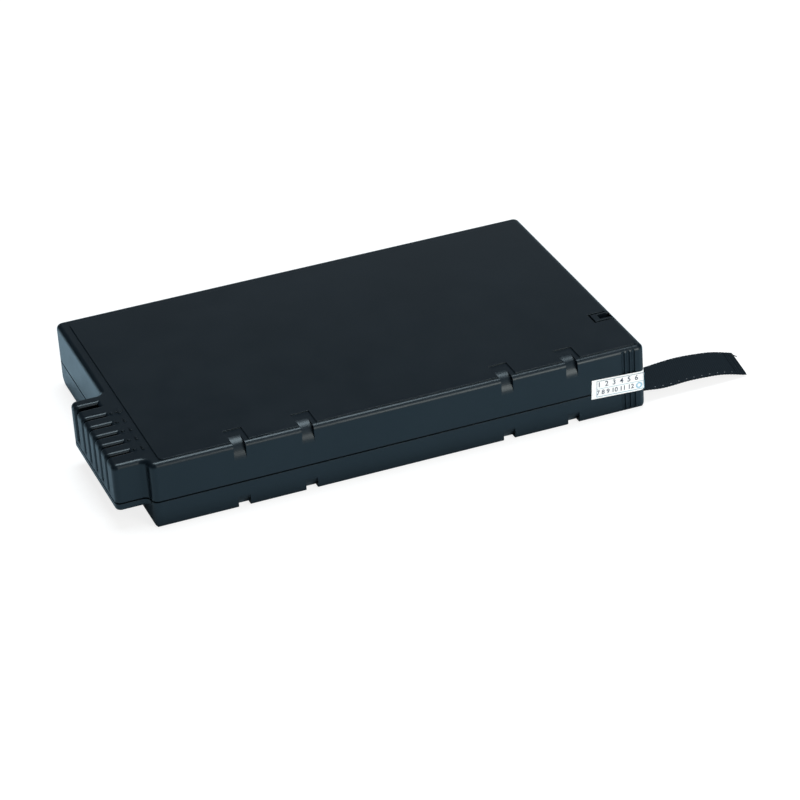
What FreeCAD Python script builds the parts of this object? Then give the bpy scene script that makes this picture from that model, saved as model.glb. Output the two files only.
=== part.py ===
import FreeCAD, Part
import math
import os

# Monitor battery pack: a flat two-shell case with a slotted contact block on its left end and a pull
# tape on its right end. Millimetres. +X runs along the case to the pull tape, +Y to the back, +Z up.
# The origin is the middle of the main body's underside, so the contact block reaches past the main
# body on the -X side.

# Case
case_length = 141.0
case_width = 88.5
case_height = 19.3
side_wall = 1.5
skin_wall = 1.1
corner_round = 1.9
top_round = 1.4
foot_round = 0.8
left_foot_round = 1.2
right_foot_round = 2.2
back_foot_round = 7.2
least_round = 0.2

# Seam between the shells: a shadow line outside and a tongue inside
seam_height = 7.4
seam_gap = 0.45
seam_gap_depth = 0.6
tongue_height = 1.2
tongue_wall = 0.7
tongue_gap = 0.05

# Contact block on the left end
block_reach = 9.0
block_setback = 3.9
block_foot = 5.4
block_round = 1.6
block_root_round = 1.8

# Slots for the blades of the bay, and the wider key slot behind them
slot_count = 5
slot_pitch = 5.3
slot_width = 1.0
slot_length = 6.6
first_slot_setback = 6.2
key_slot_width = 2.2
key_slot_step = 6.5
key_slot_margin = 4.1
slot_rim_round = 0.9
slot_sill = 1.6

# Relief marks beside the slots: a plus, dots, short bars and a minus
mark_length = 2.0
mark_width = 0.6
mark_height = 0.3
mark_setback = 1.6
mark_step = 2.1
short_mark_length = 1.4
dot_radius = 0.5

# Raised field on the roof, with a bed left free behind each notch
field_margin = 3.2
field_front = 1.5
field_right = 1.6
field_step = 0.3
field_round = 1.2
notch_bed_left = 0.4
notch_bed_right = 1.4
notch_bed_length = 8.0

# Catch pocket on the roof at the right end
pocket_setback = 17.3
pocket_width = 5.2
pocket_length = 7.0
pocket_depth = 0.7
moat_width = 0.6
catch_setback = 1.5
catch_width = 2.6
catch_length = 3.8
catch_depth = 2.2
catch_wall = 0.7
catch_end_wall = 0.9

# Notches for the bay's latch fingers, between the cells along the front
notch_after_cells = (1, 2, 5, 6)
notch_width = 3.4
notch_wall = 0.8
top_notch_reach = 4.7
top_notch_drop = 4.7
top_notch_bulge = 1.17
foot_notch_reach = 2.5
foot_notch_drop = 3.4
foot_notch_bulge = 0.3

# Finger grooves at the right end of the front face
groove_count = 3
groove_pitch = 1.5
groove_radius = 0.5
groove_setback = 3.5
groove_top_gap = 0.45

# Sticker round the right front corner, a little askew
sticker_thickness = 0.12
sticker_height = 5.75
sticker_middle_height = 8.65
sticker_front_length = 16.1
sticker_end_length = 3.2
sticker_tilt_degrees = 3.0

# Pull tape through the right end wall
tape_width = 10.2
tape_thickness = 0.7
tape_setback = 2.2
tape_height = 3.8
tape_slot_gap = 0.45
tape_run = 20.2
tape_droop_radius = 24.0
tape_droop_length = 12.0
tape_tail = 6.0
tape_bend = 0.3

# Cells, which fill the case: a row side by side and a pair end to end along the back wall
cell_cover = 0.55
cell_gap = 0.75
row_left_room = 4.6
row_right_room = 1.5
row_front_gap = 0.15
pair_left_room = 7.2
pair_right_gap = 0.4
pair_back_gap = 0.25
row_pair_gap = 1.7
cell_edge = 0.5
cap_radius = 3.6
cap_height = 0.4
crimp_setback = 3.0
crimp_width = 1.2
crimp_depth = 0.35
row_count = 7
cells_per_group = 3
cell_bed_gap = 0.1
ring_thickness = 0.2
ring_edge = 0.2
ring_hole = 0.6

# Nickel straps
strap_thickness = 0.2
strap_half_width = 3.5
strap_overhang = 4.0
strap_slit_length = 4.0
strap_slit_width = 0.8
strap_tab_half_width = 1.2
strap_corner_gap = 0.1

# Board behind the contact block
board_thickness = 1.2
board_wall_gap = 0.4
board_foot_gap = 0.15
board_roof_gap = 0.4
board_front_gap = 0.15
board_rear_past_lead = 1.8
guide_rib_height = 2.0
guide_rib_thickness = 0.8
guide_rib_width = 2.5
guide_rib_gap = 0.1

# Parts on the board, each as (along the board, up the board, height above it)
gauge_chip_size = (6.5, 4.4, 1.0)
guard_chip_size = (3.0, 3.0, 0.8)
power_switch_size = (5.0, 6.0, 1.0)
sense_resistor_size = (6.4, 3.2, 0.6)
board_fuse_size = (6.1, 2.6, 1.0)

# Forked contacts and their carrier
leaf_thickness = 0.3
leaf_foot_gap = 0.5
leaf_roof_gap = 1.7
leaf_tip_gap = 0.6
carrier_depth = 2.4
carrier_gap = 0.3
carrier_pocket_gap = 0.05

# Leads in the hollows between the cells
lead_skin_gap = 0.75
lead_radius = 0.8
thin_lead_radius = 0.5
lead_bend = 3.0
lead_past_pair = 0.9
thermistor_radius = 1.0
thermistor_length = 4.0
thermistor_after_cell = 1
thermistor_setback = 10.0
thermistor_lead_channel = 1.3

# Soft and insulating strips
sheet_thickness = 0.2
sheet_past_strap = 0.7
foam_clearance = 0.3
foam_half_height = 2.5
foam_length = 35.0

# How far a cutting tool reaches past the face it cuts
overcut = 1.0

# Places worked out from the sizes
left_end = -case_length / 2
right_end = case_length / 2
front_face = -case_width / 2
back_face = case_width / 2
block_end = left_end - block_reach
block_front = front_face + block_setback
inner_left = left_end + side_wall
inner_right = right_end - side_wall
roof = case_height - skin_wall
rim_height = case_height - field_step
axis_height = case_height / 2
slot_inner_end = block_end + slot_length
slot_places = [block_front + first_slot_setback + slot_pitch * index for index in range(slot_count)]
key_slot_place = slot_places[-1] + key_slot_step
block_rear = key_slot_place + key_slot_width / 2 + key_slot_margin
inner_front = front_face + side_wall
inner_back = back_face - side_wall
row_front = inner_front + row_front_gap + strap_thickness
row_span = inner_right - inner_left - row_left_room - row_right_room
pair_span = inner_right - inner_left - pair_left_room - pair_right_gap - 2 * strap_thickness
cell_radius = min(case_height / 2 - cell_cover, (row_span + cell_gap) / row_count / 2 - cell_gap / 2)
pair_place = inner_back - pair_back_gap - cell_radius
pair_front = pair_place - cell_radius
cell_length = min(pair_span / 2, pair_front - row_pair_gap - row_front)
cell_pitch = (row_span - 2 * cell_radius) / (row_count - 1)
row_rear = row_front + cell_length
row_places = [inner_left + row_left_room + cell_radius + cell_pitch * index for index in range(row_count)]
pair_right_end = inner_right - pair_right_gap - strap_thickness
pair_middle = pair_right_end - cell_length
pair_left_end = pair_middle - strap_thickness - cell_length
board_left = inner_left + board_wall_gap
board_face = board_left + board_thickness
board_front = inner_front + board_front_gap
board_foot = skin_wall + board_foot_gap
board_top = roof - board_roof_gap
lead_line = pair_front + lead_past_pair
board_rear = lead_line + board_rear_past_lead
upper_lead_height = roof - lead_skin_gap - lead_radius
lower_lead_height = skin_wall + lead_skin_gap + lead_radius
contact_foot = seam_height + tongue_height + leaf_foot_gap
contact_top = roof - leaf_roof_gap
tape_front = front_face + tape_setback


def cell_gap_place(cells_before):
    """Middle of the hollow after the given number of row cells."""
    return row_places[cells_before - 1] + cell_pitch / 2


def series_lead_place():
    """First hollow between row cells that leaves the series lead room to bend after the middle strap."""
    hollows = [cell_gap_place(cells) for cells in range(1, row_count)]
    return min(place for place in hollows if place > pair_middle + 2 * lead_bend)


def box(low, high):
    """Box between its lowest and highest corners."""
    length, width, height = [b - a for a, b in zip(low, high)]
    return Part.makeBox(length, width, height, FreeCAD.Vector(*low))


def in_plan(u, v):
    return FreeCAD.Vector(u, v, 0)


def in_side(u, v):
    return FreeCAD.Vector(0, u, v)


def in_front(u, v):
    return FreeCAD.Vector(u, 0, v)


def rounded_face(corners, plane):
    """Face in the given plane, from corners that are each (u, v, radius)."""
    starts = []
    middles = []
    ends = []
    count = len(corners)
    for index, (u, v, radius) in enumerate(corners):
        corner = FreeCAD.Vector(u, v, 0)
        before = FreeCAD.Vector(*corners[index - 1][:2], 0) - corner
        after = FreeCAD.Vector(*corners[(index + 1) % count][:2], 0) - corner
        before.normalize()
        after.normalize()
        half_turn = before.getAngle(after) / 2
        inward = before + after
        inward.normalize()
        reach = radius / math.tan(half_turn)
        starts.append(corner + before * reach)
        middles.append(corner + inward * (radius / math.sin(half_turn) - radius))
        ends.append(corner + after * reach)
    edges = []
    for index in range(count):
        start, middle, end = [plane(p.x, p.y) for p in (starts[index], middles[index], ends[index])]
        following = plane(starts[(index + 1) % count].x, starts[(index + 1) % count].y)
        if corners[index][2] > 0:
            edges.append(Part.Arc(start, middle, end).toShape())
        edges.append(Part.LineSegment(end, following).toShape())
    return Part.Face(Part.Wire(edges))


def plan_corners(inset, with_block):
    """Corners of the case seen from above, moved in by the inset, with or without the contact block."""
    outer = max(corner_round - inset, least_round)
    left = left_end + inset
    right = right_end - inset
    front = front_face + inset
    back = back_face - inset
    corners = [(left, front, outer), (right, front, outer), (right, back, outer), (left, back, outer)]
    if with_block:
        block_outer = max(block_round - inset, least_round)
        root = block_root_round + inset
        end = block_end + inset
        near = block_front + inset
        far = block_rear - inset
        corners += [(left, far, root), (end, far, block_outer)]
        corners += [(end, near, block_outer), (left, near, root)]
    return corners


def plan_slab(inset, foot, top, with_block=True):
    """Upright slab on the case's outline, between two heights."""
    slab = rounded_face(plan_corners(inset, with_block), in_plan)
    slab.translate(FreeCAD.Vector(0, 0, foot))
    return slab.extrude(FreeCAD.Vector(0, 0, top - foot))


def edges_at(shape, height):
    """Edges of a slab that lie flat at one height."""
    tolerance = Part.Precision.confusion()
    flat = []
    for edge in shape.Edges:
        bounds = edge.BoundBox
        if abs(bounds.ZMin - height) < tolerance and bounds.ZLength < tolerance:
            flat.append(edge)
    return flat


def case_hollow():
    """Space inside both shells: the main body's, and the block's that opens into it."""
    main = plan_slab(side_wall, skin_wall, roof, with_block=False)
    block = plan_slab(side_wall, block_foot + skin_wall, roof)
    return main.fuse(block)


def cell_beds():
    """Round beds that the cells lie in, a little larger than the cells, and the bed of the front straps."""
    radius = cell_radius + cell_bed_gap
    half = strap_half_width + cell_bed_gap
    low = (board_face, inner_front, axis_height - half)
    beds = [box(low, (inner_right, row_front, axis_height + half))]
    for place in row_places:
        start = FreeCAD.Vector(place, inner_front, axis_height)
        beds.append(Part.makeCylinder(radius, pair_place - inner_front, start, FreeCAD.Vector(0, 1, 0)))
    start = FreeCAD.Vector(inner_left, pair_place, axis_height)
    beds.append(Part.makeCylinder(radius, inner_right - inner_left, start, FreeCAD.Vector(1, 0, 0)))
    return beds


def notch_points(reach, drop, bulge, wall):
    """Start, middle and end of a notch's curved floor, as (behind the front face, in from roof or foot)."""
    span = math.hypot(reach, drop)
    inward = (drop / span, reach / span)
    middle = [half - inward[k] * (bulge - wall) for k, half in enumerate((reach / 2, drop / 2))]
    return (reach, 0.0), tuple(middle), (0.0, drop)


def notch_solid(place, half_width, outline, floor, from_roof):
    """Bar along X whose section is an outline closed by a notch's curved floor."""

    def at(point):
        height = rim_height - point[1] if from_roof else point[1]
        return FreeCAD.Vector(place - half_width, front_face + point[0], height)

    start, middle, end = floor
    points = [end] + outline + [start]
    edges = [Part.LineSegment(at(a), at(b)).toShape() for a, b in zip(points, points[1:])]
    edges.append(Part.Arc(at(start), at(middle), at(end)).toShape())
    return Part.Face(Part.Wire(edges)).extrude(FreeCAD.Vector(2 * half_width, 0, 0))


def notch_channel(place, reach, drop, bulge, from_roof):
    """What a notch takes out of the case's front edge."""
    outline = [(-overcut, drop), (-overcut, -overcut), (reach, -overcut)]
    floor = notch_points(reach, drop, bulge, 0.0)
    return notch_solid(place, notch_width / 2, outline, floor, from_roof)


def notch_backing(place, reach, drop, bulge, from_roof):
    """Wall that closes a notch towards the inside of the case."""
    _, middle, _ = notch_points(reach, drop, bulge, notch_wall)
    start = (reach + notch_wall, skin_wall)
    end = (side_wall, drop + notch_wall)
    outline = [(side_wall / 2, end[1]), (side_wall / 2, skin_wall / 2), (start[0], skin_wall / 2)]
    return notch_solid(place, notch_width / 2 + notch_wall, outline, (start, middle, end), from_roof)


def slot_cuts():
    """Slots of the contact block, open on its roof and its end, down to a sill above the seam."""
    places = [(place, slot_width) for place in slot_places] + [(key_slot_place, key_slot_width)]
    cuts = []
    for place, width in places:
        low = (block_end - overcut, place - width / 2, seam_height + slot_sill)
        cuts.append(box(low, (slot_inner_end, place + width / 2, case_height + overcut)))
    return cuts


def slot_rims(shape):
    """Edges of the slots on the block's roof and end."""
    tolerance = Part.Precision.confusion()
    sides = [place + side * slot_width / 2 for place in slot_places for side in (-1, 1)]
    sides += [key_slot_place + side * key_slot_width / 2 for side in (-1, 1)]

    def on_rim(point):
        outside = min(abs(point.z - rim_height), abs(point.x - block_end)) < tolerance
        return outside and min(abs(point.y - side) for side in sides) < tolerance

    return [edge for edge in shape.Edges if all(on_rim(vertex.Point) for vertex in edge.Vertexes)]


def groove_cuts():
    """Finger grooves down the front face, round at the top."""
    top = rim_height - groove_top_gap - groove_radius
    cuts = []
    for index in range(groove_count):
        place = right_end - groove_setback - groove_pitch * index
        foot = FreeCAD.Vector(place, front_face, -overcut)
        bar = Part.makeCylinder(groove_radius, top + overcut, foot)
        cuts.append(bar.fuse(Part.makeSphere(groove_radius, FreeCAD.Vector(place, front_face, top))))
    return cuts


def relief_marks():
    """Dots, then a minus, short bars and a plus, on the strip between the slots and the roof's field."""
    near = slot_inner_end + mark_setback
    far = near + mark_step
    low = rim_height - mark_height
    high = rim_height + mark_height

    def bar(place, half_length, half_width):
        corner = (far - half_length, place - half_width, low)
        return box(corner, (far + half_length, place + half_width, high))

    marks = [bar(slot_places[0], mark_width / 2, mark_length / 2)]
    marks.append(bar(slot_places[-1], mark_length / 2, mark_width / 2))
    marks.append(bar(slot_places[-1], mark_width / 2, mark_length / 2))
    for place in slot_places[1:-1]:
        marks.append(bar(place, mark_width / 2, short_mark_length / 2))
    for place in slot_places:
        marks.append(Part.makeCylinder(dot_radius, high - low, FreeCAD.Vector(near, place, low)))
    return marks


def roof_field(notch_places):
    """Raised field of the roof, without the beds behind the notches."""
    left = left_end + field_margin
    right = right_end - field_right
    front = front_face + field_front
    back = back_face - field_margin
    corners = [(a, b, field_round) for a, b in ((left, front), (right, front), (right, back), (left, back))]
    plate = rounded_face(corners, in_plan)
    plate.translate(FreeCAD.Vector(0, 0, rim_height))
    plate = plate.extrude(FreeCAD.Vector(0, 0, field_step))
    beds = []
    for place in notch_places:
        low = (place - notch_width / 2 - notch_bed_left, front_face, rim_height)
        bed_right = place + notch_width / 2 + notch_bed_right
        beds.append(box(low, (bed_right, front_face + notch_bed_length, case_height + overcut)))
    return plate.cut(beds)


def catch_backing():
    """Cup under the catch slot, so that the slot doesn't open into the case."""
    front = front_face + pocket_setback + catch_setback - catch_wall
    left = right_end - catch_end_wall - catch_length
    low = (left - catch_wall, front, case_height - catch_depth - catch_wall)
    return box(low, (right_end - side_wall / 2, front + catch_width + 2 * catch_wall, roof + skin_wall / 2))


def catch_cuts():
    """Moat open to the right end, and the deeper catch slot in the island that it leaves."""
    front = front_face + pocket_setback
    back = front + pocket_width
    left = right_end - pocket_length
    floor = case_height - pocket_depth
    pocket = box((left, front, floor), (right_end + overcut, back, case_height + overcut))
    low = (left + moat_width, front + moat_width, floor)
    island = box(low, (right_end + overcut, back - moat_width, case_height + overcut))
    right = right_end - catch_end_wall
    low = (right - catch_length, front + catch_setback, case_height - catch_depth)
    catch = box(low, (right, front + catch_setback + catch_width, case_height + overcut))
    return [pocket.cut(island), catch]


def make_upper_shell():
    """Upper half of the case."""
    outer = plan_slab(0.0, seam_height, rim_height)
    outer = outer.makeFillet(top_round, edges_at(outer, rim_height)).cut(slot_cuts())
    outer = outer.makeFillet(slot_rim_round, slot_rims(outer))
    tongue_line = side_wall - tongue_wall - tongue_gap
    rabbet = plan_slab(tongue_line, seam_height, seam_height + tongue_height)
    rim = plan_slab(-overcut, seam_height, seam_height + seam_gap)
    rim = rim.cut(plan_slab(seam_gap_depth, seam_height, seam_height + seam_gap))
    shell = outer.cut([case_hollow(), rabbet, rim])
    notch = (top_notch_reach, top_notch_drop, top_notch_bulge, True)
    places = [cell_gap_place(cells) for cells in notch_after_cells]
    backings = [notch_backing(place, *notch) for place in places]
    shell = shell.fuse(backings + [catch_backing(), roof_field(places)] + relief_marks())
    channels = [notch_channel(place, *notch) for place in places]
    cuts = cell_beds() + groove_cuts() + catch_cuts() + channels
    return shell.cut(cuts).removeSplitter()


def make_lower_shell():
    """Lower half of the case, with the lip under the contact block and the tongue round its rim."""
    main = plan_slab(0.0, 0.0, seam_height, with_block=False)
    side_corners = [
        (front_face, 0.0, foot_round), (back_face, 0.0, back_foot_round),
        (back_face, seam_height, 0.0), (front_face, seam_height, 0.0),
    ]
    side = rounded_face(side_corners, in_side)
    side.translate(FreeCAD.Vector(left_end, 0, 0))
    front_corners = [
        (left_end, 0.0, left_foot_round), (right_end, 0.0, right_foot_round),
        (right_end, seam_height, 0.0), (left_end, seam_height, 0.0),
    ]
    front = rounded_face(front_corners, in_front)
    front.translate(FreeCAD.Vector(0, front_face, 0))
    main = main.common(side.extrude(FreeCAD.Vector(case_length, 0, 0)))
    main = main.common(front.extrude(FreeCAD.Vector(0, case_width, 0)))
    lip = plan_slab(0.0, block_foot, seam_height)
    lip = lip.makeFillet(foot_round, edges_at(lip, block_foot))
    low = (block_end, block_front - side_wall, 0)
    lip = lip.common(box(low, (inner_left, block_rear + side_wall, seam_height)))
    inner_corners = [
        (inner_front, skin_wall, least_round),
        (inner_back, skin_wall, max(back_foot_round - side_wall, least_round)),
        (inner_back, case_height, 0.0), (inner_front, case_height, 0.0),
    ]
    inner = rounded_face(inner_corners, in_side)
    inner.translate(FreeCAD.Vector(block_end, 0, 0))
    hollow = case_hollow().common(inner.extrude(FreeCAD.Vector(right_end - block_end, 0, 0)))
    shell = main.fuse(lip).cut(hollow)
    tongue_top = seam_height + tongue_height
    tongue = plan_slab(side_wall - tongue_wall, seam_height, tongue_top)
    tongue = tongue.cut(plan_slab(side_wall, seam_height, tongue_top))
    notch = (foot_notch_reach, foot_notch_drop, foot_notch_bulge, False)
    places = [cell_gap_place(cells) for cells in notch_after_cells]
    ribs = []
    for place in (block_front, block_rear):
        low = (board_face + guide_rib_gap, place, skin_wall / 2)
        rib_end = board_face + guide_rib_gap + guide_rib_thickness
        ribs.append(box(low, (rib_end, place + guide_rib_width, skin_wall + guide_rib_height)))
    shell = shell.fuse([tongue] + [notch_backing(place, *notch) for place in places] + ribs)
    half = tape_thickness / 2 + tape_slot_gap
    low = (inner_right - overcut, tape_front - tape_slot_gap, tape_height - half)
    slot_rear = tape_front + tape_width + tape_slot_gap
    tape_slot = box(low, (right_end + overcut, slot_rear, tape_height + half))
    cuts = cell_beds() + groove_cuts() + [tape_slot]
    cuts += [notch_channel(place, *notch) for place in places]
    return shell.cut(cuts).removeSplitter()


def make_label_sticker():
    """Thin sticker over the seam that bends round the right front corner."""
    outside = plan_slab(-sticker_thickness, 0.0, case_height, with_block=False)
    skin = outside.cut(plan_slab(0.0, 0.0, case_height, with_block=False))
    half = sticker_height / 2
    left = right_end - sticker_front_length
    low = (left, front_face - overcut, sticker_middle_height - half)
    high_z = sticker_middle_height + half
    area = box(low, (right_end + sticker_end_length, front_face + sticker_end_length, high_z))
    middle = FreeCAD.Vector((left + right_end) / 2, front_face, sticker_middle_height)
    area.rotate(middle, FreeCAD.Vector(0, 1, 0), sticker_tilt_degrees)
    return skin.common(area)


def ring_sector(centre, inner, outer, start, turn):
    """Bent piece of tape about a centre in the XZ plane, from a start angle through a turn, in degrees."""

    def at(radius, angle):
        along = centre[0] + radius * math.cos(math.radians(angle))
        height = centre[1] + radius * math.sin(math.radians(angle))
        return FreeCAD.Vector(along, tape_front, height)

    angles = (start, start + turn / 2, start + turn)
    edges = [Part.Arc(*[at(outer, angle) for angle in angles]).toShape()]
    edges.append(Part.LineSegment(at(outer, angles[2]), at(inner, angles[2])).toShape())
    edges.append(Part.Arc(*[at(inner, angle) for angle in reversed(angles)]).toShape())
    edges.append(Part.LineSegment(at(inner, angles[0]), at(outer, angles[0])).toShape())
    return Part.Face(Part.Wire(edges)).extrude(FreeCAD.Vector(0, tape_width, 0))


def make_pull_tab():
    """Woven tape: a tail up the inside of the wall, a bend, a straight run out and a drooping end."""
    foot = tape_height - tape_thickness / 2
    top = tape_height + tape_thickness / 2
    rear = tape_front + tape_width
    bend_centre = (inner_right + tape_bend, top + tape_bend)
    run_end = right_end + tape_run
    low = (inner_right - tape_thickness, tape_front, bend_centre[1])
    tail = box(low, (inner_right, rear, bend_centre[1] + tape_tail))
    bend = ring_sector(bend_centre, tape_bend, tape_bend + tape_thickness, 180, 90)
    run = box((bend_centre[0], tape_front, foot), (run_end, rear, top))
    droop_turn = math.degrees(tape_droop_length / tape_droop_radius)
    droop_centre = (run_end, tape_height - tape_droop_radius)
    half = tape_thickness / 2
    droop = ring_sector(droop_centre, tape_droop_radius - half, tape_droop_radius + half, 90, -droop_turn)
    return tail.fuse([bend, run, droop]).removeSplitter()


def turned_profile(points, start, axis):
    """Solid of revolution from (radius, along) points, from a start point in the axis's direction."""
    vectors = [FreeCAD.Vector(radius, 0, along) for radius, along in points]
    face = Part.Face(Part.makePolygon(vectors + vectors[:1]))
    solid = face.revolve(FreeCAD.Vector(0, 0, 0), FreeCAD.Vector(0, 0, 1), 360)
    solid.Placement = FreeCAD.Placement(start, FreeCAD.Rotation(FreeCAD.Vector(0, 0, 1), axis))
    return solid


def make_cell(start, axis):
    """Round cell from the middle of its flat negative end towards its positive cap."""
    shoulder = cell_length - cap_height
    crimp = shoulder - crimp_setback
    waist = cell_radius - crimp_depth
    points = [
        (0, 0), (cell_radius - cell_edge, 0), (cell_radius, cell_edge),
        (cell_radius, crimp - crimp_width / 2), (waist, crimp), (cell_radius, crimp + crimp_width / 2),
        (cell_radius, shoulder - cell_edge), (cell_radius - cell_edge, shoulder),
        (cap_radius, shoulder), (cap_radius, cell_length), (0, cell_length),
    ]
    return turned_profile(points, start, axis)


def make_end_ring(start, axis):
    """Insulating ring on the shoulder round a cell's positive cap."""
    foot = cell_length - cap_height
    outer = cell_radius - cell_edge - ring_edge
    inner = cap_radius + ring_hole
    top = foot + ring_thickness
    return turned_profile([(inner, foot), (outer, foot), (outer, top), (inner, top)], start, axis)


def cell_ends():
    """Start point and direction of every cell: groups of three along the row, then the pair at the back."""
    towards_front = FreeCAD.Vector(0, -1, 0)
    towards_back = FreeCAD.Vector(0, 1, 0)
    ends = []
    for index, place in enumerate(row_places):
        if (index // cells_per_group) % 2 == 0:
            ends.append((FreeCAD.Vector(place, row_rear, axis_height), towards_front))
        else:
            ends.append((FreeCAD.Vector(place, row_front, axis_height), towards_back))
    left = FreeCAD.Vector(pair_left_end, pair_place, axis_height)
    right = FreeCAD.Vector(pair_right_end, pair_place, axis_height)
    ends.append((left, FreeCAD.Vector(1, 0, 0)))
    ends.append((right, FreeCAD.Vector(-1, 0, 0)))
    return ends


def row_strap(left, right, face, cells):
    """Flat strap across the ends of some row cells, with a weld slit over each cell."""
    low = (left, face, axis_height - strap_half_width)
    strap = box(low, (right, face + strap_thickness, axis_height + strap_half_width))
    slits = []
    for place in cells:
        low = (place - strap_slit_width / 2, face - overcut, axis_height - strap_slit_length / 2)
        high_z = axis_height + strap_slit_length / 2
        slits.append(box(low, (place + strap_slit_width / 2, face + overcut, high_z)))
    return strap.cut(slits)


def make_straps():
    """Nickel straps that join the cells and reach the board."""
    front = row_front - strap_thickness
    half = strap_half_width
    low_z = axis_height - half
    high_z = axis_height + half
    first_group = row_places[:cells_per_group]
    two_groups = row_places[:2 * cells_per_group]
    later_cells = row_places[cells_per_group:]
    straps = {}
    end = first_group[-1] + strap_overhang
    straps["strap_positive"] = row_strap(board_face, end, front, first_group)
    end = two_groups[-1] + strap_overhang
    straps["strap_first_series"] = row_strap(board_face, end, row_rear, two_groups)
    strap = row_strap(later_cells[0] - strap_overhang, later_cells[-1] + strap_overhang, front, later_cells)
    place = series_lead_place()
    tab_top = upper_lead_height + strap_tab_half_width
    low = (place - strap_tab_half_width, front, axis_height)
    tab = box(low, (place + strap_tab_half_width, row_front, tab_top))
    straps["strap_second_series"] = strap.fuse(tab).removeSplitter()
    left = pair_middle - strap_thickness
    pad = box((left, pair_place - half, low_z), (pair_middle, pair_place + half, high_z))
    riser = box((left, pair_place - half, axis_height), (pair_middle, pair_place, tab_top))
    low = (left, lead_line - strap_tab_half_width, upper_lead_height - strap_tab_half_width)
    arm = box(low, (pair_middle, pair_place, tab_top))
    straps["strap_middle"] = pad.fuse([riser, arm]).removeSplitter()
    corner = pair_front + strap_corner_gap
    left = pair_left_end - strap_thickness
    face = box((left, corner, low_z), (pair_left_end, pair_place + half, high_z))
    arm = box((board_face, corner, low_z), (pair_left_end, corner + strap_thickness, high_z))
    straps["strap_negative_left"] = face.fuse(arm).removeSplitter()
    right = pair_right_end + strap_thickness
    face = box((pair_right_end, row_rear, low_z), (right, pair_place + half, high_z))
    low = (row_places[-1] - strap_overhang, row_rear, low_z)
    arm = box(low, (right, row_rear + strap_thickness, high_z))
    low = (pair_right_end, lead_line - strap_tab_half_width, lower_lead_height - strap_tab_half_width)
    tab = box(low, (right, lead_line + strap_tab_half_width, axis_height))
    straps["strap_negative_right"] = face.fuse([arm, tab]).removeSplitter()
    return straps


def make_board_parts():
    """Circuit board, and the parts soldered to it in a row between the ends of two straps."""
    sizes = {
        "sense_resistor": sense_resistor_size,
        "gauge_chip": gauge_chip_size,
        "guard_chip": guard_chip_size,
        "power_switch_1": power_switch_size,
        "power_switch_2": power_switch_size,
        "board_fuse": board_fuse_size,
    }
    low = (board_left, board_front, board_foot)
    parts = {"control_board": box(low, (board_face, board_rear, board_top))}
    gap = (row_rear - row_front - sum(size[0] for size in sizes.values())) / (len(sizes) + 1)
    place = row_front
    for name, (along, up, height) in sizes.items():
        low = (board_face, place + gap, axis_height - up / 2)
        parts[name] = box(low, (board_face + height, low[1] + along, axis_height + up / 2))
        place = low[1] + along
    return parts


def contact_boxes(place, gap):
    """Base and two leaves of a contact, each grown by a gap."""
    low_z = contact_foot - gap
    high_z = contact_top + gap
    tip = block_end + side_wall + leaf_tip_gap - gap
    base_left = board_left - leaf_thickness
    inner = slot_width / 2 - gap
    outer = slot_width / 2 + leaf_thickness + gap
    base = box((base_left - gap, place - outer, low_z), (board_left, place + outer, high_z))
    near = box((tip, place - outer, low_z), (board_left, place - inner, high_z))
    far = box((tip, place + inner, low_z), (board_left, place + outer, high_z))
    return [base, near, far]


def make_contact(place):
    """Forked contact: two leaves either side of a slot, on one base."""
    base, near, far = contact_boxes(place, 0.0)
    return base.fuse([near, far]).removeSplitter()


def make_contact_carrier():
    """Moulded comb that stands on the block's floor and holds the contacts at their base."""
    low = (board_left - carrier_depth, block_front + side_wall + carrier_gap, block_foot + skin_wall)
    high = (board_left, block_rear - side_wall - carrier_gap, roof - carrier_gap)
    pockets = [pocket for place in slot_places for pocket in contact_boxes(place, carrier_pocket_gap)]
    return box(low, high).cut(pockets)


def make_lead(points, radius):
    """Insulated wire along straight runs joined by an arc at each inner corner."""
    path = []
    start = points[0]
    for before, corner, after in zip(points, points[1:], points[2:]):
        back = (before - corner).normalize()
        ahead = (after - corner).normalize()
        half_turn = back.getAngle(ahead) / 2
        reach = lead_bend / math.tan(half_turn)
        inward = (back + ahead).normalize()
        middle = corner + inward * (lead_bend / math.sin(half_turn) - lead_bend)
        path.append(Part.LineSegment(start, corner + back * reach).toShape())
        path.append(Part.Arc(corner + back * reach, middle, corner + ahead * reach).toShape())
        start = corner + ahead * reach
    path.append(Part.LineSegment(start, points[-1]).toShape())
    direction = points[1] - points[0]
    section = Part.Wire(Part.makeCircle(radius, points[0], direction))
    return Part.Wire(path).makePipeShell([section], True, False)


def make_leads():
    """Wires in the hollows between the row and the pair of cells, and the temperature bead."""
    upper = upper_lead_height
    lower = lower_lead_height
    middle_left = pair_middle - strap_thickness
    bead_place = cell_gap_place(thermistor_after_cell)
    bead_rear = row_rear - thermistor_setback
    bead_line = row_rear + thermistor_lead_channel
    series_place = series_lead_place()
    series = [(pair_middle, lead_line, upper), (series_place, lead_line, upper)]
    series.append((series_place, row_front, upper))
    tap = [(middle_left, lead_line, upper), (board_face, lead_line, upper)]
    negative = [(pair_right_end, lead_line, lower), (board_face, lead_line, lower)]
    warm = [(bead_place, bead_rear, upper), (bead_place, bead_line, upper), (board_face, bead_line, upper)]
    bead_start = FreeCAD.Vector(bead_place, bead_rear - thermistor_length, upper)
    along_cell = FreeCAD.Vector(0, 1, 0)

    def route(points):
        return [FreeCAD.Vector(*point) for point in points]

    return {
        "series_lead": make_lead(route(series), lead_radius),
        "tap_lead": make_lead(route(tap), thin_lead_radius),
        "negative_lead": make_lead(route(negative), lead_radius),
        "thermistor": Part.makeCylinder(thermistor_radius, thermistor_length, bead_start, along_cell),
        "thermistor_lead": make_lead(route(warm), thin_lead_radius),
    }


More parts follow.
